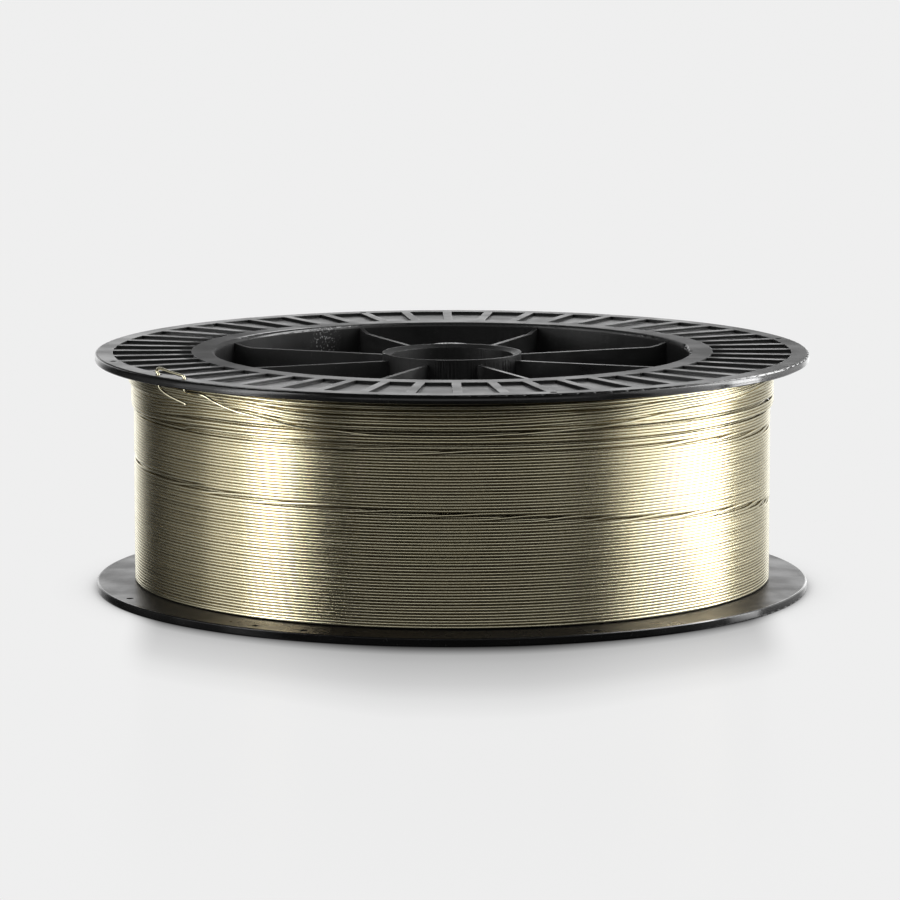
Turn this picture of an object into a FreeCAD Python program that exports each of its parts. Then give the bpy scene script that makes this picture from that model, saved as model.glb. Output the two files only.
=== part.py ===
import FreeCAD, Part
import math
import os
import Sketcher

# A wound spool of welding wire, standing on one flange.
# The origin is the centre of the bottom face and +Z runs up along the spool's axis.

DOC = FreeCAD.newDocument("welding_wire_spool")

# Driving dimensions in millimetres, angles in degrees from +X about +Z
SHEET = DOC.addObject("Spreadsheet::Sheet", "sizes")
SIZES = [
    # flanges and barrel
    ("flange_radius", 150.0),
    ("overall_width", 100.0),
    ("rim_thickness", 3.5),
    ("rim_land", 3.0),
    ("root_thickness", 5.5),
    ("rim_rounding", 0.8),
    ("rim_chamfer", 0.4),
    ("barrel_inner_radius", 99.8),
    ("barrel_wall", 3.7),
    ("mouth_rounding", 1.6),
    # ribs and the shallow pockets between them on both outer faces
    ("rib_count", 48),
    ("rib_width", 3.75),
    ("pocket_barrel_margin", 6.0),
    ("pocket_rim_margin", 7.4),
    ("pocket_depth", 1.2),
    # webs that carry the hub
    ("web_count", 8),
    ("web_turn", 22.5),
    ("web_thickness", 2.0),
    ("web_drop", 3.3),
    ("web_rise", 1.8),
    ("web_rise_length", 7.5),
    # hub with the spindle bore
    ("hub_outer_radius", 29.2),
    ("hub_drop", 0.9),
    ("bore_radius", 25.75),
    ("lead_in_width", 2.75),
    ("lead_in_height", 1.3),
    # tube for the driving pin
    ("driver_angle", 90.0),
    ("driver_offset", 44.5),
    ("driver_hole_radius", 5.25),
    ("driver_wall", 3.0),
    # small holes that take a wire end
    ("wire_hole_radius", 1.5),
    ("top_hole_margin", 4.5),
    ("bottom_hole_margin", 5.5),
    ("wire_hole_repeats", 4),
    ("top_hole_angle", 15.0),
    ("bottom_hole_angle", 22.5),
    ("bottom_pair_angle", 236.2),
    ("pair_spacing", 8.8),
    ("end_hole_angle", 221.6),
    ("tail_hole_angle", 214.6),
    # wire
    ("wire_diameter", 1.2),
    ("winding_margin", 16.0),
    ("last_layer_height", 16.0),
    ("winding_clearance", 0.1),
    ("end_clearance", 0.2),
    ("leave_angle", 244.0),
    ("end_bend", 1.8),
    ("loop_rise", 0.8),
    ("tail_rise", 2.2),
    ("tail_drop", 6.8),
    ("tail_turn", 7.5),
]
for row, (alias, value) in enumerate(SIZES, start=1):
    SHEET.set("A%d" % row, alias)
    SHEET.set("B%d" % row, str(value))
    SHEET.setAlias("B%d" % row, alias)
DOC.recompute()

# Radii that follow from them, as expressions
BARREL = "(sizes.barrel_inner_radius + sizes.barrel_wall)"
POCKET_INNER = "(%s + sizes.pocket_barrel_margin)" % BARREL
POCKET_OUTER = "(sizes.flange_radius - sizes.pocket_rim_margin)"
TOP_HOLE_CIRCLE = "(sizes.flange_radius - sizes.top_hole_margin)"
BOTTOM_HOLE_CIRCLE = "(sizes.flange_radius - sizes.bottom_hole_margin)"
WINDING_INNER = "(%s + sizes.winding_clearance)" % BARREL
WINDING_OUTER = "(sizes.flange_radius - sizes.winding_margin)"
LAST_LAYER_OUTER = "(%s + sizes.wire_diameter * cos(30deg))" % WINDING_OUTER


def size(alias):
    return float(SHEET.get(alias))


def value_of(obj, expression):
    result = obj.evalExpression(expression)
    return float(getattr(result, "Value", result))


def origin_item(body, role):
    return next(item for item in body.Origin.OriginFeatures if item.Role == role)


# Sketch helpers

def new_sketch(body, name, role, height=None, turn=None):
    """A sketch on the body's plane with this role, raised and turned about +Z by expressions."""
    sketch = body.newObject("Sketcher::SketchObject", name)
    sketch.AttachmentSupport = [(origin_item(body, role), "")]
    sketch.MapMode = "FlatFace"
    if height:
        sketch.setExpression("AttachmentOffset.Base.z", height)
    if turn:
        up = FreeCAD.Vector(0, 0, 1) if role == "XY_Plane" else FreeCAD.Vector(0, 1, 0)
        start = FreeCAD.Rotation(up, value_of(sketch, turn))
        sketch.AttachmentOffset = FreeCAD.Placement(FreeCAD.Vector(), start)
        sketch.setExpression("AttachmentOffset.Rotation.Angle", turn)
    DOC.recompute()
    return sketch


def pin(sketch, kind, *target):
    """Constrain a distance, radius or coordinate and bind it to an expression."""
    *reference, expression = target
    value = value_of(sketch, expression)
    index = sketch.addConstraint(Sketcher.Constraint(kind, *reference, value))
    sketch.setExpression("Constraints[%d]" % index, expression)


def outline(sketch, corners):
    """A closed outline whose corners are given as pairs of expressions."""
    points = [FreeCAD.Vector(value_of(sketch, across), value_of(sketch, up), 0) for across, up in corners]
    count = len(points)
    for i, point in enumerate(points):
        sketch.addGeometry(Part.LineSegment(point, points[(i + 1) % count]), False)
    for i, (across, up) in enumerate(corners):
        sketch.addConstraint(Sketcher.Constraint("Coincident", (i - 1) % count, 2, i, 1))
        pin(sketch, "DistanceX", -1, 1, i, 1, across)
        pin(sketch, "DistanceY", -1, 1, i, 1, up)


def circle(sketch, radius, away):
    """A circle centred on the sketch's X axis, this far from the origin."""
    centre = FreeCAD.Vector(value_of(sketch, away), 0, 0)
    index = sketch.addGeometry(Part.Circle(centre, FreeCAD.Vector(0, 0, 1), value_of(sketch, radius)), False)
    sketch.addConstraint(Sketcher.Constraint("PointOnObject", index, 3, -1))
    pin(sketch, "Radius", index, radius)
    pin(sketch, "DistanceX", -1, 1, index, 3, away)


# Feature helpers

def revolve(body, name, sketch):
    feature = body.newObject("PartDesign::Revolution", name)
    feature.Profile = sketch
    feature.ReferenceAxis = (sketch, ["V_Axis"])
    feature.Angle = 360
    sketch.Visibility = False
    DOC.recompute()
    return feature


def pad(body, name, sketch, length, midplane=False):
    feature = body.newObject("PartDesign::Pad", name)
    feature.Profile = sketch
    if midplane:
        feature.SideType = "Symmetric"
    feature.setExpression("Length", length)
    sketch.Visibility = False
    DOC.recompute()
    return feature


def pocket(body, name, sketch, depth, upward=False):
    feature = body.newObject("PartDesign::Pocket", name)
    feature.Profile = sketch
    feature.Reversed = upward
    feature.setExpression("Length", depth)
    sketch.Visibility = False
    DOC.recompute()
    return feature


def repeat(body, name, features, count):
    """Copies of the features, evenly spaced about the spool's axis."""
    pattern = body.newObject("PartDesign::PolarPattern", name)
    pattern.Originals = features
    pattern.Axis = (origin_item(body, "Z_Axis"), [""])
    pattern.Angle = 360
    pattern.setExpression("Occurrences", count)
    body.Tip = pattern
    DOC.recompute()
    return pattern


def ease_circles(body, name, base, how, wanted):
    """Fillet or chamfer the circular edges found at the wanted (radius, height) places."""
    edges = []
    for i, edge in enumerate(base.Shape.Edges, start=1):
        if not isinstance(edge.Curve, Part.Circle):
            continue
        place = (edge.Curve.Radius, edge.Curve.Center.z)
        if any(math.dist(place, spot) < 0.01 for spot in wanted):
            edges.append("Edge%d" % i)
    kind, measure, amount = how
    eased = body.newObject("PartDesign::" + kind, name)
    eased.Base = (base, edges)
    eased.setExpression(measure, amount)
    DOC.recompute()
    return eased


def recess_outline(sketch):
    """Two arcs about the axis, joined by sides that leave the same rib width at every radius."""
    arcs = []
    for radius in (POCKET_INNER, POCKET_OUTER):
        reach = value_of(sketch, radius)
        side = value_of(sketch, side_height(radius))
        bend = math.asin(side / reach)
        ring = Part.Circle(FreeCAD.Vector(), FreeCAD.Vector(0, 0, 1), reach)
        arc = sketch.addGeometry(Part.ArcOfCircle(ring, -bend, bend), False)
        sketch.addConstraint(Sketcher.Constraint("Coincident", arc, 3, -1, 1))
        pin(sketch, "Radius", arc, radius)
        pin(sketch, "DistanceY", -1, 1, arc, 1, "-" + side_height(radius))
        pin(sketch, "DistanceY", -1, 1, arc, 2, side_height(radius))
        arcs.append(arc)
    inner, outer = arcs
    for end in (1, 2):
        ends = [sketch.getPoint(arc, end) for arc in arcs]
        line = sketch.addGeometry(Part.LineSegment(*ends), False)
        sketch.addConstraint(Sketcher.Constraint("Coincident", line, 1, inner, end))
        sketch.addConstraint(Sketcher.Constraint("Coincident", line, 2, outer, end))


def side_height(radius):
    """How far from its middle line a pocket's side lies, at this radius."""
    return "(%s * sin(180deg / sizes.rib_count - asin(sizes.rib_width / 2 / %s)))" % (radius, radius)


def top_wire_hole(body, name, angle):
    sketch = new_sketch(body, name + "_outline", "XY_Plane", "sizes.overall_width", angle)
    circle(sketch, "sizes.wire_hole_radius", TOP_HOLE_CIRCLE)
    return pocket(body, name, sketch, "sizes.root_thickness")


def bottom_wire_hole(body, name, angle):
    sketch = new_sketch(body, name + "_outline", "XY_Plane", turn=angle)
    circle(sketch, "sizes.wire_hole_radius", BOTTOM_HOLE_CIRCLE)
    return pocket(body, name, sketch, "sizes.root_thickness", upward=True)


# Spool: one moulding with two flanges, a barrel, webs and a hub

def make_spool():
    body = DOC.addObject("PartDesign::Body", "spool")
    body.Label = "spool"
    width = "sizes.overall_width"

    # Flanges and barrel as one turned section, each flange level at its rim and thicker towards its root
    section = new_sketch(body, "flange_section", "XZ_Plane")
    land = "sizes.flange_radius - sizes.rim_land"
    outline(section, [
        ("sizes.barrel_inner_radius", "0"),
        ("sizes.flange_radius", "0"),
        ("sizes.flange_radius", "sizes.rim_thickness"),
        (land, "sizes.rim_thickness"),
        (BARREL, "sizes.root_thickness"),
        (BARREL, width + " - sizes.root_thickness"),
        (land, width + " - sizes.rim_thickness"),
        ("sizes.flange_radius", width + " - sizes.rim_thickness"),
        ("sizes.flange_radius", width),
        ("sizes.barrel_inner_radius", width),
    ])
    flanges = revolve(body, "flanges_and_barrel", section)

    rim, rim_inner = size("flange_radius"), size("rim_thickness")
    top, mouth = size("overall_width"), size("barrel_inner_radius")
    broken = ("Chamfer", "Size", "sizes.rim_chamfer")
    rounded = ("Fillet", "Radius", "sizes.rim_rounding")
    swept = ("Fillet", "Radius", "sizes.mouth_rounding")
    inner_rims = ease_circles(body, "inner_rims", flanges, broken, [(rim, rim_inner), (rim, top - rim_inner)])
    outer_rims = ease_circles(body, "outer_rims", inner_rims, rounded, [(rim, 0), (rim, top)])
    ease_circles(body, "mouth_edges", outer_rims, swept, [(mouth, 0), (mouth, top)])

    # Webs from the hub to the barrel, swept up to the flange where they meet the barrel
    web = new_sketch(body, "web_profile", "XZ_Plane", turn="sizes.web_turn")
    web_inner = "(sizes.bore_radius + sizes.hub_outer_radius) / 2"
    web_outer = "sizes.barrel_inner_radius + sizes.barrel_wall / 2"
    low, high = "sizes.web_drop", width + " - sizes.web_drop"
    ramp = "sizes.barrel_inner_radius - sizes.web_rise_length"
    outline(web, [
        (web_inner, low),
        (ramp, low),
        ("sizes.barrel_inner_radius - sizes.web_rise_length / 2", low + " - sizes.web_rise * 0.35"),
        ("sizes.barrel_inner_radius", low + " - sizes.web_rise"),
        (web_outer, low + " - sizes.web_rise"),
        (web_outer, high + " + sizes.web_rise"),
        ("sizes.barrel_inner_radius", high + " + sizes.web_rise"),
        ("sizes.barrel_inner_radius - sizes.web_rise_length / 2", high + " + sizes.web_rise * 0.35"),
        (ramp, high),
        (web_inner, high),
    ])
    first_web = pad(body, "web", web, "sizes.web_thickness", midplane=True)
    webs = repeat(body, "webs", [first_web], "sizes.web_count")

    # Hub with a lead-in at both ends of the spindle bore
    hub = new_sketch(body, "hub_section", "XZ_Plane")
    hub_top = width + " - sizes.hub_drop"
    lead = "sizes.bore_radius + sizes.lead_in_width"
    outline(hub, [
        ("sizes.bore_radius", "sizes.hub_drop + sizes.lead_in_height"),
        (lead, "sizes.hub_drop"),
        ("sizes.hub_outer_radius", "sizes.hub_drop"),
        ("sizes.hub_outer_radius", hub_top),
        (lead, hub_top),
        ("sizes.bore_radius", hub_top + " - sizes.lead_in_height"),
    ])
    revolve(body, "hub", hub)

    # Tube for the driving pin, tied to the hub by a short web
    tie = new_sketch(body, "tie_outline", "XY_Plane", "sizes.web_drop", "sizes.driver_angle")
    half = "sizes.web_thickness / 2"
    outline(tie, [
        (web_inner, "-" + half),
        ("sizes.driver_offset", "-" + half),
        ("sizes.driver_offset", half),
        (web_inner, half),
    ])
    tube_length = width + " - 2 * sizes.web_drop"
    pad(body, "driver_tie", tie, tube_length)
    tube = new_sketch(body, "driver_outline", "XY_Plane", "sizes.web_drop", "sizes.driver_angle")
    circle(tube, "sizes.driver_hole_radius + sizes.driver_wall", "sizes.driver_offset")
    pad(body, "driver_tube", tube, tube_length)
    hole = new_sketch(body, "driver_hole_outline", "XY_Plane", width, "sizes.driver_angle")
    circle(hole, "sizes.driver_hole_radius", "sizes.driver_offset")
    pocket(body, "driver_hole", hole, width)

    # Holes near the rims for the ends of a wire
    top_hole = top_wire_hole(body, "top_wire_hole", "sizes.top_hole_angle")
    repeat(body, "top_wire_holes", [top_hole], "sizes.wire_hole_repeats")
    bottom_hole = bottom_wire_hole(body, "bottom_wire_hole", "sizes.bottom_hole_angle")
    repeat(body, "bottom_wire_holes", [bottom_hole], "sizes.wire_hole_repeats")
    bottom_wire_hole(body, "bottom_pair_first", "sizes.bottom_pair_angle")
    bottom_wire_hole(body, "bottom_pair_second", "sizes.bottom_pair_angle + sizes.pair_spacing")
    top_wire_hole(body, "end_hole", "sizes.end_hole_angle")
    top_wire_hole(body, "tail_hole", "sizes.tail_hole_angle")

    # Shallow pockets between constant ribs, all round both outer faces
    recesses = []
    for side, height, upward in (("top", width, False), ("bottom", "0", True)):
        recess = new_sketch(body, side + "_recess", "XY_Plane", height, "180 / sizes.rib_count")
        recess_outline(recess)
        recesses.append(pocket(body, side + "_pocket", recess, "sizes.pocket_depth", upward))
    repeat(body, "pockets", recesses, "sizes.rib_count")
    return body


# Winding: the laid turns as one turned solid that fits between the flanges

def make_winding():
    body = DOC.addObject("PartDesign::Body", "wire_winding")
    body.Label = "wire_winding"
    width = "sizes.overall_width"
    layer_edge = width + " - sizes.last_layer_height"
    section = new_sketch(body, "winding_section", "XZ_Plane")
    outline(section, [
        (WINDING_INNER, flange_inner_face(WINDING_INNER)),
        (WINDING_OUTER, flange_inner_face(WINDING_OUTER)),
        (WINDING_OUTER, layer_edge),
        (LAST_LAYER_OUTER, layer_edge),
        (LAST_LAYER_OUTER, width + " - " + flange_inner_face(LAST_LAYER_OUTER)),
        (WINDING_INNER, width + " - " + flange_inner_face(WINDING_INNER)),
    ])
    revolve(body, "turns", section)
    return body


def flange_inner_face(radius):
    """How far from the spool's end a turn at this radius starts, clear of the sloping flange."""
    land = "(sizes.flange_radius - sizes.rim_land)"
    slope = "(sizes.root_thickness - sizes.rim_thickness) / (%s - %s)" % (land, BARREL)
    return "(sizes.winding_clearance + sizes.rim_thickness + (%s - %s) * %s)" % (land, radius, slope)


# Wire end: leaves the winding, goes up and down through the flange's end holes and is cut off below

def around(angle, reach, height):
    """A point at this angle, distance from the axis and height."""
    turned = math.radians(angle)
    return FreeCAD.Vector(reach * math.cos(turned), reach * math.sin(turned), height)


def blend(first, last, share):
    return first + (last - first) * share


def end_route():
    """The wire end's middle line, from the winding to its cut tip."""
    wire = size("wire_diameter")
    top = size("overall_width")
    under = top - size("rim_thickness")
    rim = size("flange_radius")
    lying = rim - size("winding_margin") + wire / 2 + size("end_clearance")
    edge = top - size("last_layer_height") - wire / 2 - size("end_clearance")
    leave, up, down = size("leave_angle"), size("end_hole_angle"), size("tail_hole_angle")
    circle_reach = rim - size("top_hole_margin")
    tip = under - size("tail_drop")

    # Shares of the way from the winding to the hole: turn, reach and height
    climb = [
        (-0.18, 0.00, 0.00),
        (-0.09, 0.00, 0.00),
        (0.00, 0.07, 0.00),
        (0.18, 0.12, 0.09),
        (0.41, 0.12, 0.20),
        (0.60, 0.12, 0.29),
        (0.78, 0.16, 0.43),
        (0.89, 0.31, 0.59),
        (0.95, 0.58, 0.76),
        (1.00, 1.00, 0.87),
    ]
    # Shares of the way from the second hole to the tip: turn and height
    tail = [(0.00, 0.55), (0.35, 0.62), (1.00, 1.00)]

    points = []
    for turn, out, rise in climb:
        reach, height = blend(lying, circle_reach, out), blend(edge, under, rise)
        points.append(around(blend(leave, up, turn), reach, height))
    for turn, rise in ((up, "loop_rise"), (down, "tail_rise")):
        points.append(around(turn, circle_reach, top + size(rise) + wire / 2))
    for turn, drop in tail:
        points.append(around(down + size("tail_turn") * turn, circle_reach, blend(under, tip, drop)))
    return points


def rounded_line(points, share, bend):
    """Straight runs joined by arcs that take this share of the shorter run, or have this bend radius."""
    edges = []
    last = points[0]
    for before, corner, after in zip(points, points[1:], points[2:]):
        back, ahead = before - corner, after - corner
        half_angle = back.getAngle(ahead) / 2
        reach = share * min(back.Length, ahead.Length)
        if half_angle < math.radians(67.5):
            reach = min(reach, bend / math.tan(half_angle))
        begin = corner + FreeCAD.Vector(back).normalize() * reach
        finish = corner + FreeCAD.Vector(ahead).normalize() * reach
        inward = (begin + finish) * 0.5 - corner
        depth = reach / math.cos(half_angle) - reach * math.tan(half_angle)
        middle = corner + inward.normalize() * depth
        edges.append(Part.LineSegment(last, begin).toShape())
        edges.append(Part.Arc(begin, middle, finish).toShape())
        last = finish
    edges.append(Part.LineSegment(last, points[-1]).toShape())
    return Part.Wire(edges)


def make_wire_end():
    points = end_route()
    ring = Part.Circle(points[0], points[1] - points[0], size("wire_diameter") / 2)
    piece = DOC.addObject("Part::Feature", "wire_end")
    piece.Label = "wire_end"
    spine = rounded_line(points, 0.45, size("end_bend"))
    piece.Shape = spine.makePipeShell([Part.Wire([ring.toShape()])], True, True)
    return piece


# Write each piece to its own file

def write_piece(piece):
    for item in [piece] + list(getattr(piece, "Group", [])):
        if "Invalid" in item.State or "Error" in item.State:
            raise RuntimeError("feature %s did not build: %s" % (item.Name, item.State))
    shape = piece.Shape
    if shape.isNull() or not shape.isValid() or len(shape.Solids) != 1:
        raise RuntimeError("%s is not one valid solid" % piece.Label)
    shape.exportStep("parts/%s.step" % piece.Label)


PIECES = [make_spool(), make_winding(), make_wire_end()]
DOC.recompute()
os.makedirs("parts", exist_ok=True)
for piece in PIECES:
    write_piece(piece)
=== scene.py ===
import math

import bpy
import numpy as np
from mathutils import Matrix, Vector


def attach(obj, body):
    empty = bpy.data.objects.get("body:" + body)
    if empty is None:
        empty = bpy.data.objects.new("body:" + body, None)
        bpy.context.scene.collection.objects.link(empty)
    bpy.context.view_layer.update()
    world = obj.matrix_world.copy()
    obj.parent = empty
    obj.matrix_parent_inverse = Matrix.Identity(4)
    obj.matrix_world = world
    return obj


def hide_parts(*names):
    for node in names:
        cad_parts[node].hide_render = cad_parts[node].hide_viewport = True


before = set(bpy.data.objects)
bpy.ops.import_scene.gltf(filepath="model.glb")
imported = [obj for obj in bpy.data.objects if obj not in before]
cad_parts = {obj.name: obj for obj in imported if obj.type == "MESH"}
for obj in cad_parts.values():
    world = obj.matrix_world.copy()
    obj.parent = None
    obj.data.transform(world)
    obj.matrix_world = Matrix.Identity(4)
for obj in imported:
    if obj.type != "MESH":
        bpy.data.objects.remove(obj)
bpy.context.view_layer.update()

MM = 0.001

# The camera that took the photograph, found from the flanges' outlines, in metres, degrees and pixels
CAMERA_DISTANCE = 2.06277
CAMERA_HEIGHT = 0.348695
CAMERA_DIP = 8.04
CAMERA_SWING = -0.9
FOCAL_PX = 4933.9
FRAME_PX = 900.0
CENTRE_SHIFT_PX = -2.0
SENSOR_MM = 36.0

# Soft boxes that aim at the spool's middle: place, width and height in metres, and power in watts
SPOOL_MIDDLE = (0.0, 0.0, 0.05)
SOFT_BOXES = {
    "left_box": ((-1.49, -0.59, 0.80), 0.42, 1.6, 11.8),
    "left_wide_box": ((-1.61, -0.16, 0.80), 0.80, 1.6, 4.0),
    "right_box": ((1.55, 0.39, 1.20), 0.60, 2.5, 38.5),
    "right_wide_box": ((1.58, -0.36, 0.70), 0.86, 1.5, 6.6),
    "front_top_box": ((0.1, -1.7, 0.86), 3.0, 0.95, 5.9),
}

# The pale ground, and the light that comes from the room: its dark front, the bright wall at the back,
# the right side from its front to its back, and the left side
BACKGROUND = (0.855, 0.855, 0.855)
ROOM_LIGHT = 0.015
BACK_WALL_LIGHT = 1.75
RIGHT_LIGHT = (0.10, 0.58)
LEFT_LIGHT = 0.20

# The shadow in front of the spool, in millimetres: how far it reaches, how light the floor is at each share
# of that, where it gets shorter and paler towards the sides, and where it ends at the sides and at the back
FLANGE_RADIUS = 150.0
SHADOW_REACH = 180.0
SHADOW_STOPS = [(0.0, 0.10), (0.03, 0.18), (0.10, 0.50), (0.20, 0.59), (0.29, 0.64), (0.43, 0.72),
                (0.61, 0.88), (0.82, 0.99), (1.0, 1.0)]
SHADOW_SHOULDERS = (20.0, 90.0)
SHOULDER_SHORTENING = 1.2
SHOULDER_DEPTH = 0.76
SHADOW_ENDS = (118.0, 135.0)
SHADOW_BACK_END = (-20.0, 0.0)

# What the floor gives back: a faint sheen seen in it, and the mirrored light that the spool gets from below,
# with the mirror painted dark as shade across the spool's width and light beside it
SHEEN_SHARE = 0.012
SHEEN_ROUGHNESS = 0.20
MIRROR_LEVELS = (0.05, 0.75)
MIRROR_EDGE = (110.0, 190.0)
MIRROR_ROUGHNESS = 0.15
FLOOR_GLOW = 0.012

# The wire and where it lies, in millimetres and degrees from +X about +Z. The helix starts a lead below the
# first turn, as every round of the gap lifts it by a turn.
WIRE = 1.2
MAIN_OUTER = 134.0
LAYER_RISE = WIRE * math.cos(math.radians(30))
FIRST_TURN = 4.95
TOP_TURN = 95.1
MAIN_TURNS = 75
MAIN_PIECES = 3
HELIX_LEAD = 2.2
STEPS_PER_TURN = 288
UNDERLAY_DROP = 0.5

# The gap that runs down round the winding, where each turn steps up to the next. Its angles keep counting
# from one round to the next: first the back, then the upper and the lower line in front. The softness is how
# many wires high the step is, by angle, for the rounds above UPPER_ROUNDS.
GAP_ANGLES = [30, 80, 130, 196, 214, 240, 257, 274, 285, 306, 320, 335, 350,
              556, 572, 585, 596, 611, 622, 630, 642, 658, 678, 695, 707, 760, 900]
GAP_HEIGHTS = [120, 88, 80, 74.4, 74.3, 73.9, 73.1, 71.5, 71.45, 71.45, 70.4, 68.8, 67.2,
               54.3, 53.2, 51.5, 50.6, 49.6, 48.4, 48.0, 46.5, 43.9, 41.8, 40.3, 38.0, 26.0, 0.0]
GAP_SOFTNESS = [(0, 1.2), (268, 1.2), (277, 0.5), (303, 0.5), (314, 1.2), (360, 1.2)]
UPPER_ROUNDS = 60.0
ABOVE_ALL = 200.0
BELOW_ALL = -50.0
GAP_DIP = 0.3

# Level gaps in the upper part of the front: the height in front above which turns lie higher, how far the
# gap opens, and the angles between which it opens and closes
SPLITS = [(77.45, 1.25), (81.05, 1.2)]
SPLIT_OPENS = (200, 225)
SPLIT_CLOSES = (338, 372)

# The last full layer: the height in front above which turns belong to it, the angle at which the wire steps
# up on it, over how many points, and how much slack its turns have on the right
LAYER_HEIGHT = 77.45
STEP_UP_ANGLE = 90.0
STEP_UP_LENGTH = 24
LOOSENESS = 0.36

# Loose turns on top of it: their heights where they sag in front, their lowest turn elsewhere, and how far
# round the sag and the crossing on the right reach
SAG_TURNS = [81.85, 85.1, 86.35, 87.55, 88.75, 91.3, 93.5, 94.9]
LOOSE_ROUNDS = len(SAG_TURNS) - 0.4
REST_LOWEST = 87.9
FRONT_ANGLE = 270.0
LIFT_ANGLE = 252.0
SAG_ANGLES = [215, 224, 232, 240, 248, 262, 272, 281, 295, 300, 307, 314, 330]
SAG_SHARES = [0.0, 0.05, 0.25, 0.75, 0.97, 1.0, 1.0, 0.9, 0.65, 0.5, 0.22, 0.05, 0.0]
CROSSING_ANGLES = [0, 40, 100, 316, 328, 345, 360]
CROSSING_SHARES = [0.95, 0.9, 0.0, 0.0, 0.12, 0.62, 0.95]
CROSSING_RISE = 5.6
PILE_STEP = 0.9
PILE_TURNS = 3

# The wire end: angle, distance from the axis and height along it, through the flange's two holes.
# It starts on the first points of the lowest loose turn.
SHARED_POINTS = 10
SHARED_STRIDE = 3
END_HOLE_ANGLE = 221.6
TAIL_HOLE_ANGLE = 214.6
HOLE_CIRCLE = 145.5
END_ROUTE = [
    (249.0, 135.6, 82.9),
    (245.5, 135.75, 83.1),
    (242.6, 136.0, 83.6),
    (239.5, 136.4, 84.65),
    (236.7, 136.8, 85.75),
    (234.0, 137.2, 86.75),
    (231.6, 137.7, 87.6),
    (230.15, 137.9, 88.1),
    (228.1, 138.0, 89.1),
    (225.95, 138.3, 90.6),
    (224.5, 139.2, 92.3),
    (223.0, 140.1, 93.6),
    (222.2, 142.0, 94.2),
    (221.7, 144.5, 94.6),
    (END_HOLE_ANGLE, HOLE_CIRCLE, 95.6),
    (END_HOLE_ANGLE, HOLE_CIRCLE, 97.0),
    (END_HOLE_ANGLE, HOLE_CIRCLE, 99.6),
    (221.2, HOLE_CIRCLE, 101.0),
    (219.9, HOLE_CIRCLE, 101.4),
    (217.6, HOLE_CIRCLE, 101.9),
    (215.6, HOLE_CIRCLE, 102.55),
    (214.6, HOLE_CIRCLE, 102.5),
    (214.0, HOLE_CIRCLE, 101.7),
    (214.1, HOLE_CIRCLE, 100.8),
    (TAIL_HOLE_ANGLE, HOLE_CIRCLE, 99.6),
    (TAIL_HOLE_ANGLE, HOLE_CIRCLE, 96.4),
    (215.2, HOLE_CIRCLE, 94.2),
    (217.6, HOLE_CIRCLE, 92.0),
    (222.1, HOLE_CIRCLE, 89.7),
]

# Colours of the drawn wire, from turn to turn, and of the painted shade deep between turns, where turns are
# seen in each other: in front and from there to the sides, by the cosine of the angle
WIRE_TINTS = ((0.66, 0.61, 0.42), (0.90, 0.85, 0.62))
WIRE_ROUGHNESS = (0.20, 0.26)
PAINTED_SHADE_IN_FRONT = (0.27, 0.225, 0.14)
PAINTED_SHADE_AT_SIDES = (0.62, 0.54, 0.37)
PAINTED_SHADE_SPAN = (0.32, 0.52)

# Where the plastic's finish changes: heights and distances from the axis in millimetres, angles in radians
UPPER_FACE = (97.0, 99.0)
LIP_FACE = (98.2, 98.8)
LOWER_FLANGE = (4.0, 8.0)
WELL_WALL = (98.0, 100.5)
LIP_INSIDE = (98.6, 99.4)
LIP_OUTSIDE = (101.6, 102.4)
RING_EDGE = (112.0, 116.0)
SCUFFS_START = (140.0, 143.0)
RIM_EDGE = (148.9, 149.9)
LIP_FROM = (2.1, 2.3)
LIP_TO = (2.6, 2.75)

# The plastic's roughness: its faces, its smooth and rubbed parts, and what streaks, the well's left side, the
# ring and scuffs add to it or the front of the lower flange takes away
FACE_ROUGHNESS = (0.33, 0.44)
SMOOTH_ROUGHNESS = (0.14, 0.24)
RUBBED_ROUGHNESS = 0.13
STREAK_ROUGHNESS = (-0.14, 0.12)
WELL_LEFT_ROUGHNESS = 0.18
RING_ROUGHNESS = 0.22
RING_LESS_RIGHT = -0.07
SCUFF_ROUGHNESS = 0.13
LOWER_FRONT_LESS = 0.13

# Tones and marks of the plastic: its black, pale streaks, bare specks with their place on the well's wall,
# fine scratches, how often drag marks come round the axis and up the wall, and the rim's crowned face
BLACK = 0.007
STREAK_TONE = 0.018
SPECK_TONE = 0.28
SPECK_PLACE = (-54.3, 83.7, 94.3)
SPECK_CLUSTER = (3.0, 9.0)
SCRATCH_TONE = 0.03
MARKS_ROUND = 60.0
MARKS_UP = 0.04
CROWN_START = 97.5
CROWN_CURVE = 0.2


# Node helpers

def node(tree, kind, inputs=(), **settings):
    """A node with these settings; each input gets a value or is wired to a socket."""
    made = tree.nodes.new(kind)
    for key, value in settings.items():
        setattr(made, key, value)
    for key, value in dict(inputs).items():
        if isinstance(value, bpy.types.NodeSocket):
            tree.links.new(value, made.inputs[key])
        else:
            made.inputs[key].default_value = value
    return made


def calc(tree, operation, *values):
    return node(tree, "ShaderNodeMath", dict(enumerate(values)), operation=operation).outputs[0]


def product(tree, first, *others):
    """All of these multiplied together."""
    for other in others:
        first = calc(tree, "MULTIPLY", first, other)
    return first


def fade(tree, value, low, high, start=0.0, end=1.0):
    """A smooth ramp from start to end while the value goes from low to high."""
    inputs = {"Value": value, "From Min": low, "From Max": high, "To Min": start, "To Max": end}
    return node(tree, "ShaderNodeMapRange", inputs, interpolation_type="SMOOTHSTEP").outputs["Result"]


def level_ramp(tree, value, stops):
    """Grey levels at places from 0 to 1, with straight runs between them."""
    made = node(tree, "ShaderNodeValToRGB", {"Fac": value})
    elements = made.color_ramp.elements
    elements[0].position, elements[1].position = stops[0][0], stops[-1][0]
    for place, _ in stops[1:-1]:
        elements.new(place)
    for element, (_, level) in zip(elements, stops):
        element.color = (level, level, level, 1)
    return made.outputs["Color"]


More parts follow.
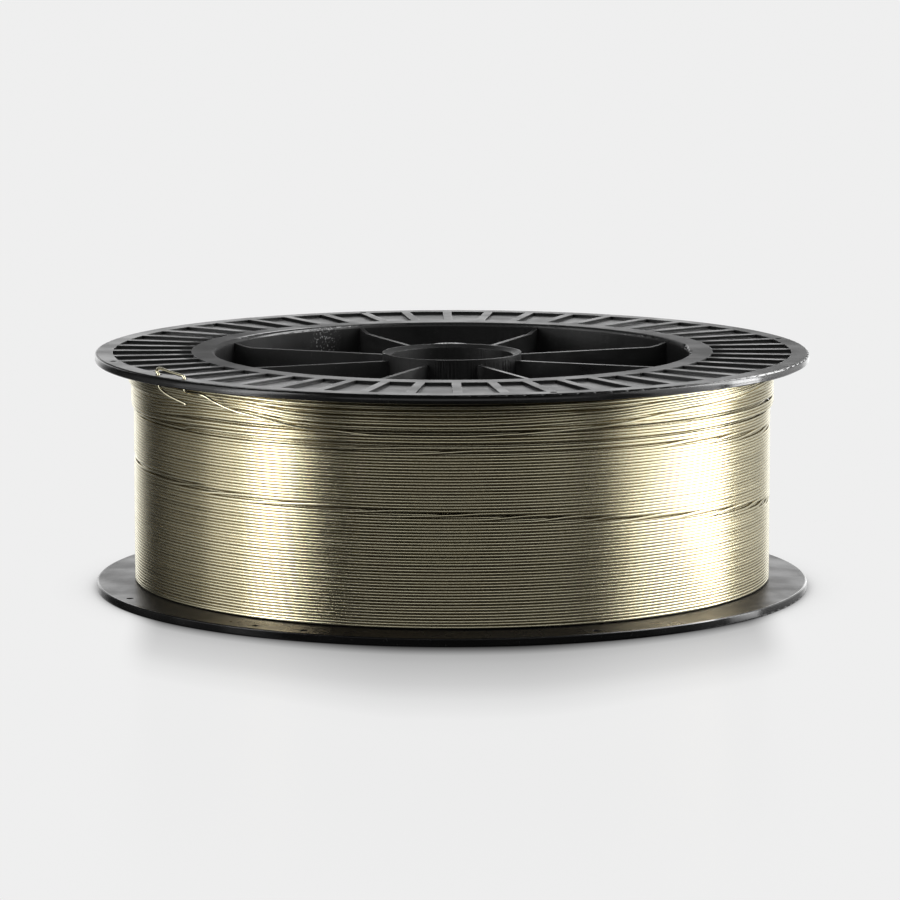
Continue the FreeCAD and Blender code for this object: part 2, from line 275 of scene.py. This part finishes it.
def between_colours(tree, share, first, second):
    """A colour this share of the way from the first to the second, each a socket or red, green and blue."""
    first, second = (end if isinstance(end, bpy.types.NodeSocket) else (*end, 1) for end in (first, second))
    return node(tree, "ShaderNodeMix", {0: share, 6: first, 7: second}, data_type="RGBA").outputs[2]


def between_numbers(tree, share, first, second):
    return node(tree, "ShaderNodeMix", {0: share, 2: first, 3: second}).outputs[0]


def noise(tree, vector, scale, detail=3.0, roughness=0.5):
    inputs = {"Vector": vector, "Scale": scale, "Detail": detail, "Roughness": roughness}
    return node(tree, "ShaderNodeTexNoise", inputs).outputs["Fac"]


def new_group(name, sockets):
    """A node group that puts out these named sockets, given as (name, type) pairs."""
    tree = bpy.data.node_groups.new(name, "ShaderNodeTree")
    for label, kind in sockets:
        tree.interface.new_socket(label, in_out="OUTPUT", socket_type=kind)
    return tree, tree.nodes.new("NodeGroupOutput").inputs


def use_group(tree, group):
    return node(tree, "ShaderNodeGroup", node_tree=group).outputs


# Camera, floor and light

def link(thing):
    bpy.context.scene.collection.objects.link(thing)
    return thing


def make_camera():
    swing = math.radians(CAMERA_SWING)
    data = bpy.data.cameras.new("camera")
    data.sensor_width = SENSOR_MM
    data.lens = FOCAL_PX / FRAME_PX * SENSOR_MM
    data.shift_x = CENTRE_SHIFT_PX / FRAME_PX
    camera = link(bpy.data.objects.new("camera", data))
    camera.location = (CAMERA_DISTANCE * math.sin(swing), -CAMERA_DISTANCE * math.cos(swing), CAMERA_HEIGHT)
    camera.rotation_euler = (math.radians(90 - CAMERA_DIP), 0.0, swing)
    bpy.context.scene.camera = camera


def make_floor(axis):
    reach = 6.0
    mesh = bpy.data.meshes.new("floor")
    corners = [(-reach, -reach, 0), (reach, -reach, 0), (reach, reach, 0), (-reach, reach, 0)]
    mesh.from_pydata(corners, [], [(0, 1, 2, 3)])
    floor = link(bpy.data.objects.new("floor", mesh))
    mesh.materials.append(floor_material(axis))


def make_lights():
    for name, (place, width, height, power) in SOFT_BOXES.items():
        data = bpy.data.lights.new(name, "AREA")
        data.shape = "RECTANGLE"
        data.size = width
        data.size_y = height
        data.energy = power
        lamp = link(bpy.data.objects.new(name, data))
        lamp.location = place
        lamp.rotation_euler = (lamp.location - Vector(SPOOL_MIDDLE)).to_track_quat("Z", "Y").to_euler()


def make_world():
    """A bright wall behind the spool and a dark room in front; the camera sees an even pale ground."""
    world = bpy.data.worlds.new("studio")
    world.use_nodes = True
    bpy.context.scene.world = world
    tree = world.node_tree
    tree.nodes.clear()
    direction = node(tree, "ShaderNodeTexCoord").outputs["Generated"]
    parts = node(tree, "ShaderNodeSeparateXYZ", {"Vector": direction}).outputs
    wall = fade(tree, parts["Y"], 0.80, 0.99, ROOM_LIGHT, BACK_WALL_LIGHT)
    right = product(tree, fade(tree, parts["X"], 0.2, 0.6), fade(tree, parts["Y"], 0.2, 0.5, *RIGHT_LIGHT))
    left = product(tree, fade(tree, parts["X"], -0.95, -0.6, LEFT_LIGHT, 0.0),
                   fade(tree, parts["Y"], 0.8, 0.4))
    room = calc(tree, "ADD", calc(tree, "MAXIMUM", wall, right), left)
    around = node(tree, "ShaderNodeBackground", {"Color": room}).outputs[0]
    seen = node(tree, "ShaderNodeBackground", {"Color": (*BACKGROUND, 1)}).outputs[0]
    path = node(tree, "ShaderNodeLightPath")
    mix = node(tree, "ShaderNodeMixShader", {0: path.outputs["Is Camera Ray"], 1: around, 2: seen})
    node(tree, "ShaderNodeOutputWorld", {"Surface": mix.outputs[0]})


# Materials

def new_material(name):
    material = bpy.data.materials.new(name)
    material.use_nodes = True
    tree = material.node_tree
    return material, tree, tree.nodes["Principled BSDF"]


def axis_group():
    """Angle about the spool's axis in radians, and the distance from it, height and place in millimetres."""
    tree, out = new_group("about_axis", [("Angle", "NodeSocketFloat"), ("Reach", "NodeSocketFloat"),
                                         ("Height", "NodeSocketFloat"), ("Place", "NodeSocketVector")])
    place = node(tree, "ShaderNodeNewGeometry").outputs["Position"]
    scaled = node(tree, "ShaderNodeVectorMath", {0: place, "Scale": 1 / MM}, operation="SCALE").outputs[0]
    parts = node(tree, "ShaderNodeSeparateXYZ", {"Vector": scaled}).outputs
    flat = node(tree, "ShaderNodeVectorMath", {0: scaled, 1: (1, 1, 0)}, operation="MULTIPLY").outputs[0]
    reach = node(tree, "ShaderNodeVectorMath", {0: flat}, operation="LENGTH").outputs["Value"]
    tree.links.new(calc(tree, "ARCTAN2", parts["Y"], parts["X"]), out["Angle"])
    tree.links.new(reach, out["Reach"])
    tree.links.new(parts["Z"], out["Height"])
    tree.links.new(scaled, out["Place"])
    return tree


def floor_light(tree, parts, across):
    """How light the floor is: darker close to the spool and in front, where it keeps the wall's light off."""
    beside = calc(tree, "SUBTRACT", FLANGE_RADIUS ** 2, product(tree, across, across))
    rim = calc(tree, "SQRT", calc(tree, "MAXIMUM", beside, 0.0))
    ahead = calc(tree, "SUBTRACT", product(tree, parts["Y"], -1.0), rim)
    per_reach = fade(tree, across, *SHADOW_SHOULDERS, 1.0 / SHADOW_REACH, SHOULDER_SHORTENING / SHADOW_REACH)
    depth = calc(tree, "SUBTRACT", 1.0, level_ramp(tree, product(tree, ahead, per_reach), SHADOW_STOPS))
    within = product(tree, fade(tree, across, *SHADOW_SHOULDERS, 1.0, SHOULDER_DEPTH),
                     fade(tree, across, *SHADOW_ENDS, 1.0, 0.0),
                     fade(tree, parts["Y"], *SHADOW_BACK_END, 1.0, 0.0))
    contact = node(tree, "ShaderNodeAmbientOcclusion", {"Distance": 0.02}, samples=8).outputs["AO"]
    return product(tree, calc(tree, "SUBTRACT", 1.0, product(tree, depth, within)), contact)


def floor_material(axis):
    """Even pale paper with a soft shadow; a dim mirror of the room, with painted shade across the spool's
    width.
    """
    material, tree, shader = new_material("floor_paint")
    tree.nodes.remove(shader)
    about = use_group(tree, axis)
    parts = node(tree, "ShaderNodeSeparateXYZ", {"Vector": about["Place"]}).outputs
    across = calc(tree, "ABSOLUTE", parts["X"])
    tone = between_colours(tree, floor_light(tree, parts, across), (0, 0, 0), BACKGROUND)
    paper = node(tree, "ShaderNodeEmission", {"Color": tone}).outputs[0]
    sheen = node(tree, "ShaderNodeBsdfGlossy", {"Color": (0.9, 0.9, 0.9, 1), "Roughness": SHEEN_ROUGHNESS})
    seen = node(tree, "ShaderNodeMixShader", {0: SHEEN_SHARE, 1: paper, 2: sheen.outputs[0]}).outputs[0]
    # Painted shade: the floor's mirror is dark across the spool's width and light beside it
    under, beside = ((level, level, level) for level in MIRROR_LEVELS)
    mirror_painted_shade = between_colours(tree, fade(tree, across, *MIRROR_EDGE), under, beside)
    mirror = node(tree, "ShaderNodeBsdfGlossy", {"Color": mirror_painted_shade, "Roughness": MIRROR_ROUGHNESS}).outputs[0]
    glow = node(tree, "ShaderNodeEmission", {"Color": (FLOOR_GLOW, FLOOR_GLOW, FLOOR_GLOW, 1)}).outputs[0]
    given = node(tree, "ShaderNodeAddShader", {0: mirror, 1: glow}).outputs[0]
    path = node(tree, "ShaderNodeLightPath")
    both = node(tree, "ShaderNodeMixShader", {0: path.outputs["Is Camera Ray"], 1: given, 2: seen})
    tree.links.new(both.outputs[0], tree.nodes["Material Output"].inputs["Surface"])
    return material


def wire_material(axis):
    """Bright drawn wire with a pale champagne tint that changes a little from turn to turn.

    Turns seen in each other are painted dull brown, as painted shade deep between them, darker in front.
    """
    material, tree, shader = new_material("wire_metal")
    about = use_group(tree, axis)
    along = node(tree, "ShaderNodeCombineXYZ", {"X": about["Angle"], "Y": about["Height"]}).outputs[0]
    turns = noise(tree, along, 1.1, detail=2.0)
    tint = between_colours(tree, turns, *WIRE_TINTS)
    aside = calc(tree, "ABSOLUTE", calc(tree, "COSINE", about["Angle"]))
    painted_valley_shade = between_colours(tree, fade(tree, aside, *PAINTED_SHADE_SPAN), PAINTED_SHADE_IN_FRONT, PAINTED_SHADE_AT_SIDES)
    path = node(tree, "ShaderNodeLightPath")
    # Painted shade: a turn seen in another turn takes the dull brown of the shade deep between turns
    colour = between_colours(tree, path.outputs["Is Glossy Ray"], tint, painted_valley_shade)
    tree.links.new(colour, shader.inputs["Base Color"])
    tree.links.new(fade(tree, turns, 0.3, 0.7, *WIRE_ROUGHNESS), shader.inputs["Roughness"])
    shader.inputs["Metallic"].default_value = 1.0
    return material


def worn_roughness(tree, about, facing, marks, inside, rim):
    """Dull faces, drag streaks in the well, a rough ring and scuffs on the upper face, and smooth parts."""
    angle, reach, height = (about[label] for label in ("Angle", "Reach", "Height"))
    cloud = noise(tree, about["Place"], 0.05, detail=4.0)

    # The lower flange is smoother at its front and back, and the well is duller on its left
    fore_and_aft = fade(tree, calc(tree, "ABSOLUTE", facing), 0.55, 0.72, 1.0, 0.0)
    smoother = product(tree, fade(tree, height, *LOWER_FLANGE, LOWER_FRONT_LESS, 0.0), fore_and_aft)
    dull = calc(tree, "SUBTRACT", fade(tree, cloud, 0.3, 0.7, *FACE_ROUGHNESS), smoother)
    streaked = calc(tree, "ADD", fade(tree, marks, 0.35, 0.65, *STREAK_ROUGHNESS),
                    fade(tree, facing, -0.5, -0.2, WELL_LEFT_ROUGHNESS, 0.0))

    # The ring is rough at its sides, and the rest of the upper face is scuffed on its right
    upper = fade(tree, height, *UPPER_FACE)
    side = product(tree, calc(tree, "POWER", facing, 2.0),
                   calc(tree, "MULTIPLY_ADD", facing, RING_LESS_RIGHT, RING_ROUGHNESS))
    ring = product(tree, fade(tree, reach, *RING_EDGE, 1.0, 0.0), upper)
    scuffed = product(tree, fade(tree, facing, 0.7, 0.95, 0.0, SCUFF_ROUGHNESS),
                      fade(tree, reach, *SCUFFS_START), upper)
    worked = calc(tree, "MULTIPLY_ADD", side, ring, calc(tree, "MULTIPLY_ADD", streaked, inside, dull))

    # The rim is smooth all round, and the well's lip on its far left
    lip = product(tree, fade(tree, reach, *LIP_OUTSIDE, 1.0, 0.0), fade(tree, reach, *LIP_INSIDE),
                  fade(tree, height, *LIP_FACE),
                  fade(tree, angle, *LIP_FROM), fade(tree, angle, *LIP_TO, 1.0, 0.0))
    return between_numbers(tree, calc(tree, "MAXIMUM", rim, lip), calc(tree, "ADD", worked, scuffed),
                           fade(tree, cloud, 0.35, 0.65, *SMOOTH_ROUGHNESS))


def marked_tone(tree, place, marks, inside):
    """Black, with pale streaks down the well's wall, a cluster of specks near its top and fine scratches."""
    streak = product(tree, fade(tree, marks, 0.52, 0.75), inside)
    apart = node(tree, "ShaderNodeVectorMath", {0: place, 1: SPECK_PLACE}, operation="DISTANCE")
    near = fade(tree, apart.outputs["Value"], *SPECK_CLUSTER, 1.0, 0.0)
    speck = product(tree, fade(tree, noise(tree, place, 1.1), 0.56, 0.64), near)
    scratch = fade(tree, noise(tree, place, 0.9, detail=5.0, roughness=0.7), 0.60, 0.72)
    tone = calc(tree, "MULTIPLY_ADD", streak, STREAK_TONE, BLACK)
    tone = calc(tree, "MULTIPLY_ADD", speck, SPECK_TONE, tone)
    return calc(tree, "MULTIPLY_ADD", scratch, SCRATCH_TONE, tone)


def worn_plastic_group(axis):
    """Roughness, tone and bump heights of the spool's black plastic, by place on the spool."""
    masks = ["Roughness", "Tone", "Grain", "Crown", "Patches", "Polish"]
    tree, out = new_group("worn_plastic", [(mask, "NodeSocketFloat") for mask in masks])
    about = use_group(tree, axis)
    place, reach, height = (about[label] for label in ("Place", "Reach", "Height"))
    facing = calc(tree, "COSINE", about["Angle"])
    around = node(tree, "ShaderNodeCombineXYZ", {"X": product(tree, about["Angle"], MARKS_ROUND),
                                                 "Y": product(tree, height, MARKS_UP)})
    marks = noise(tree, around.outputs[0], 1.0, detail=5.0, roughness=0.65)
    inside = fade(tree, reach, *WELL_WALL, 1.0, 0.0)
    rim = fade(tree, reach, *RIM_EDGE)
    tree.links.new(worn_roughness(tree, about, facing, marks, inside, rim), out["Roughness"])
    tree.links.new(marked_tone(tree, place, marks, inside), out["Tone"])

    # Fine grain with drag marks in the well, the crowned rim, patches of rubbed edge, and polish on the right
    grain = noise(tree, place, 1.6, detail=2.0)
    tree.links.new(calc(tree, "ADD", grain, product(tree, marks, inside, 2.0)), out["Grain"])
    over = calc(tree, "MAXIMUM", calc(tree, "SUBTRACT", height, CROWN_START), 0.0)
    tree.links.new(product(tree, over, over, rim, -CROWN_CURVE), out["Crown"])
    tree.links.new(fade(tree, noise(tree, place, 0.35, detail=2.0), 0.50, 0.58), out["Patches"])
    tree.links.new(product(tree, rim, fade(tree, facing, 0.58, 0.72)), out["Polish"])
    return tree


def plastic_material(axis):
    """Black moulded plastic: eased edges rubbed bright in places, a fine grain and a slightly crowned rim."""
    material, tree, shader = new_material("spool_plastic")
    worn = use_group(tree, worn_plastic_group(axis))
    tone = node(tree, "ShaderNodeCombineXYZ", {"X": worn["Tone"], "Y": worn["Tone"], "Z": worn["Tone"]})
    tree.links.new(tone.outputs[0], shader.inputs["Base Color"])
    eased = node(tree, "ShaderNodeBevel", {"Radius": 0.35 * MM}, samples=6).outputs[0]
    flat = node(tree, "ShaderNodeNewGeometry").outputs["True Normal"]
    bend = node(tree, "ShaderNodeVectorMath", {0: flat, 1: eased}, operation="DOT_PRODUCT").outputs["Value"]
    rubbed = product(tree, fade(tree, bend, 0.995, 0.96), worn["Patches"])
    shine = between_numbers(tree, rubbed, worn["Roughness"], RUBBED_ROUGHNESS)
    tree.links.new(shine, shader.inputs["Roughness"])
    tree.links.new(worn["Polish"], shader.inputs["Coat Weight"])
    shader.inputs["Coat Roughness"].default_value = 0.10
    shader.inputs["Coat IOR"].default_value = 1.8
    crowned = node(tree, "ShaderNodeBump", {"Strength": 1.0, "Distance": MM, "Height": worn["Crown"],
                                            "Normal": eased})
    bump = node(tree, "ShaderNodeBump", {"Strength": 0.12, "Distance": 0.1 * MM, "Height": worn["Grain"],
                                         "Normal": crowned.outputs[0]})
    tree.links.new(bump.outputs[0], shader.inputs["Normal"])
    return material


# Wire laid in turns

def smooth_step(value):
    value = np.clip(value, 0.0, 1.0)
    return value * value * (3.0 - 2.0 * value)


def wander(angle, size, seed, knots_per_turn=5):
    """A smooth random drift along the wire, of about this size."""
    rng = np.random.default_rng(seed)
    count = int(np.ptp(angle) / 360.0 * knots_per_turn) + 3
    knots = np.linspace(angle.min(), angle.max(), count)
    fine = np.interp(angle, knots, rng.normal(0.0, size, count))
    width = max(3, int(len(angle) / count))
    return np.convolve(np.pad(fine, width, mode="edge"), np.ones(width) / width, mode="same")[width:-width]


def grid_mesh(name, points, closed_across=False):
    """A smooth mesh over a grid of points, given in millimetres as rows by columns by xyz."""
    rows, cols = points.shape[:2]
    mesh = bpy.data.meshes.new(name)
    index = np.arange(rows * cols).reshape(rows, cols)
    if closed_across:
        index = np.concatenate([index, index[:, :1]], axis=1)
    quads = np.stack([index[:-1, :-1], index[1:, :-1], index[1:, 1:], index[:-1, 1:]], axis=-1).reshape(-1, 4)
    mesh.vertices.add(rows * cols)
    mesh.vertices.foreach_set("co", (points.reshape(-1, 3) * MM).ravel())
    mesh.loops.add(quads.size)
    mesh.loops.foreach_set("vertex_index", quads.ravel())
    mesh.polygons.add(len(quads))
    mesh.polygons.foreach_set("loop_start", np.arange(len(quads)) * 4)
    mesh.polygons.foreach_set("loop_total", np.full(len(quads), 4))
    mesh.polygons.foreach_set("use_smooth", np.ones(len(quads), bool))
    mesh.update(calc_edges=True)
    mesh.validate()
    return mesh


def add_piece(name, mesh, material, node_name):
    piece = link(bpy.data.objects.new(name, mesh))
    mesh.materials.append(material)
    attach(piece, "root")
    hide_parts(node_name)
    return piece


def laid_wire(angle, reach, height, half_arc=115.0, sides=8):
    """Grid of points on the outward side of a wire whose middle runs through these places."""
    tilt = np.radians(np.linspace(-half_arc, half_arc, sides + 1))
    out = reach[:, None] + WIRE / 2 * np.cos(tilt)[None, :]
    level = height[:, None] + WIRE / 2 * np.sin(tilt)[None, :]
    turned = np.radians(angle)[:, None]
    return np.stack([out * np.cos(turned), out * np.sin(turned), level], axis=-1)


def gap_shift(angle, level):
    """How far above the gap each place is, as a share of one turn's step, and how deep it dips on the way."""
    shift = np.zeros(angle.shape)
    dip = np.zeros(angle.shape)
    lower_softness = GAP_SOFTNESS[0][1]
    softness = np.where(level > UPPER_ROUNDS, np.interp(angle % 360.0, *zip(*GAP_SOFTNESS)), lower_softness)
    for lap in (0, 360, 720):
        line = np.interp(angle % 360.0 + lap, GAP_ANGLES, GAP_HEIGHTS, left=ABOVE_ALL, right=BELOW_ALL)
        passed = smooth_step((level - line) / (softness * WIRE) + 0.5)
        shift += passed
        dip = np.maximum(dip, 4.0 * passed * (1.0 - passed))
    return shift, dip


def split_share(angle):
    """How far the level gaps are open at each angle, from 0 to 1."""
    front = angle % 360.0
    (open_from, open_to), (close_from, close_to) = SPLIT_OPENS, SPLIT_CLOSES
    opened = smooth_step((front - open_from) / (open_to - open_from))
    return opened * smooth_step((close_to - front) / (close_to - close_from))


def make_main_layer(material):
    """The turns laid side by side from the lower flange up, with the last full layer on top of them.

    Each turn is told by its height in front, from one passing of the back to the next, so that it lies above
    or below a level gap, and in the last layer or not, as a whole.
    """
    angle = np.linspace(0.0, 360.0 * MAIN_TURNS, STEPS_PER_TURN * MAIN_TURNS + 1)
    level = FIRST_TURN + WIRE * angle / 360.0 - HELIX_LEAD
    shift, dip = gap_shift(angle, level)
    height = level + WIRE * shift
    in_front = height - WIRE * ((angle - STEP_UP_ANGLE) % 360.0 / 360.0 - 0.5)
    for place, opening in SPLITS:
        height += opening * split_share(angle) * (in_front > place)
    height = np.clip(height + wander(angle, size=0.035, seed=3), FIRST_TURN, TOP_TURN)
    outer = np.convolve(in_front > LAYER_HEIGHT, np.ones(STEP_UP_LENGTH) / STEP_UP_LENGTH, mode="same")
    outer[-STEP_UP_LENGTH:] = 1.0
    slack = LOOSENESS * (0.5 + 0.5 * np.cos(np.radians(angle)))
    reach = MAIN_OUTER - WIRE / 2 + (LAYER_RISE + slack) * outer - GAP_DIP * dip
    reach += wander(angle, size=0.012, seed=4)
    cuts = np.linspace(0, len(angle) - 1, MAIN_PIECES + 1).astype(int)
    for part, (begin, finish) in enumerate(zip(cuts, cuts[1:]), start=1):
        keep = slice(begin, finish + 1)
        mesh = grid_mesh("winding_turns_%d" % part, laid_wire(angle[keep], reach[keep], height[keep]))
        add_piece("winding_turns_%d" % part, mesh, material, "wire_winding")


def make_underlay(material):
    """The layer below, as rings that show in the gaps."""
    tilt = np.radians([-75, -40, 0, 40, 75])
    rings = np.arange(FIRST_TURN + WIRE / 2, TOP_TURN, WIRE)
    middle = MAIN_OUTER - LAYER_RISE - UNDERLAY_DROP - WIRE / 2
    reach = np.tile(middle + WIRE / 2 * np.cos(tilt), len(rings))
    level = (rings[:, None] + WIRE / 2 * np.sin(tilt)[None, :]).ravel()
    turned = np.radians(np.linspace(0, 360, 145))[:, None]
    points = np.stack([reach * np.cos(turned), reach * np.sin(turned), level + 0 * turned], axis=-1)
    mesh = grid_mesh("winding_underlay", points)
    add_piece("winding_underlay", mesh, material, "wire_winding")


def make_loose_turns(material):
    """The last turns, which sag in front and cross each other on their way up at the right.

    Gives the angles, distances and heights of the first points, where the wire end goes on.
    """
    angle = np.linspace(LIFT_ANGLE, LIFT_ANGLE + 360.0 * LOOSE_ROUNDS, int(STEPS_PER_TURN * LOOSE_ROUNDS))
    lap = (angle - LIFT_ANGLE) / 360.0
    last = len(SAG_TURNS) - 1
    sagging = np.interp(lap - (FRONT_ANGLE - LIFT_ANGLE) / 360.0, np.arange(last + 1), SAG_TURNS)
    resting = np.interp(lap, [0, last], [REST_LOWEST, TOP_TURN])
    share = np.interp(angle % 360.0, SAG_ANGLES, SAG_SHARES)
    crossing = np.interp(angle % 360.0, CROSSING_ANGLES, CROSSING_SHARES)
    height = share * sagging + (1 - share) * resting
    height += CROSSING_RISE * crossing * (1 - np.minimum(lap / last, 1.0))
    height = np.minimum(height + wander(angle, size=0.10, seed=8, knots_per_turn=6), TOP_TURN)
    piled = PILE_STEP * ((last - np.floor(lap)) % PILE_TURNS) * crossing
    reach = MAIN_OUTER + 2 * LAYER_RISE - WIRE / 2 + piled
    reach += wander(angle, size=0.06, seed=9, knots_per_turn=6)
    mesh = grid_mesh("loose_turns", laid_wire(angle, reach, height, half_arc=180.0, sides=11))
    add_piece("loose_turns", mesh, material, "wire_winding")
    return angle[:SHARED_POINTS], reach[:SHARED_POINTS], height[:SHARED_POINTS]


def curve_through(points, steps):
    """Points on a smooth curve through the given ones, by Catmull and Rom's rule."""
    padded = np.vstack([2 * points[0] - points[1], points, 2 * points[-1] - points[-2]])
    share = np.linspace(0, 1, steps, endpoint=False)[:, None]
    runs = []
    for a, b, c, d in zip(padded, padded[1:], padded[2:], padded[3:]):
        runs.append(0.5 * (2 * b + (c - a) * share + (2 * a - 5 * b + 4 * c - d) * share ** 2
                           + (3 * b - a - 3 * c + d) * share ** 3))
    return np.vstack(runs + [points[-1:]])


def tube(path, radius, sides=12):
    """Grid of points round a path, carried along it without twist."""
    ahead = np.gradient(path, axis=0)
    ahead /= np.linalg.norm(ahead, axis=1)[:, None]
    across = np.cross(ahead[0], (0.0, 0.0, 1.0))
    spin = np.linspace(0, 2 * np.pi, sides, endpoint=False)[:, None]
    rings = []
    for place, heading in zip(path, ahead):
        across = across - heading * np.dot(across, heading)
        across /= np.linalg.norm(across)
        side = np.cross(heading, across)
        rings.append(place + radius * (np.cos(spin) * across + np.sin(spin) * side))
    return np.stack(rings)


def make_wire_end(material, shared):
    """The end of the wire, up through one hole of the flange, over to the next and down again."""
    angle, reach, height = (values[::-1] for values in shared)
    route = np.array(list(zip(angle, reach, height))[:-1:SHARED_STRIDE] + END_ROUTE)
    turned = np.radians(route[:, 0])
    places = np.stack([route[:, 1] * np.cos(turned), route[:, 1] * np.sin(turned), route[:, 2]], axis=-1)
    path = curve_through(places, steps=10)
    rings = tube(path, WIRE / 2)
    tip = path[-1][None, None, :] + 0 * rings[-1:]
    mesh = grid_mesh("wire_end", np.concatenate([rings, tip]), closed_across=True)
    add_piece("wire_end_strand", mesh, material, "wire_end")


def main():
    make_camera()
    make_lights()
    make_world()
    bpy.context.scene.view_settings.view_transform = "Standard"
    axis = axis_group()
    make_floor(axis)
    wire = wire_material(axis)
    plastic = plastic_material(axis)
    make_main_layer(wire)
    make_underlay(wire)
    shared = make_loose_turns(wire)
    make_wire_end(wire, shared)
    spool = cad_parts["spool"]
    spool.data.materials.clear()
    spool.data.materials.append(plastic)


main()
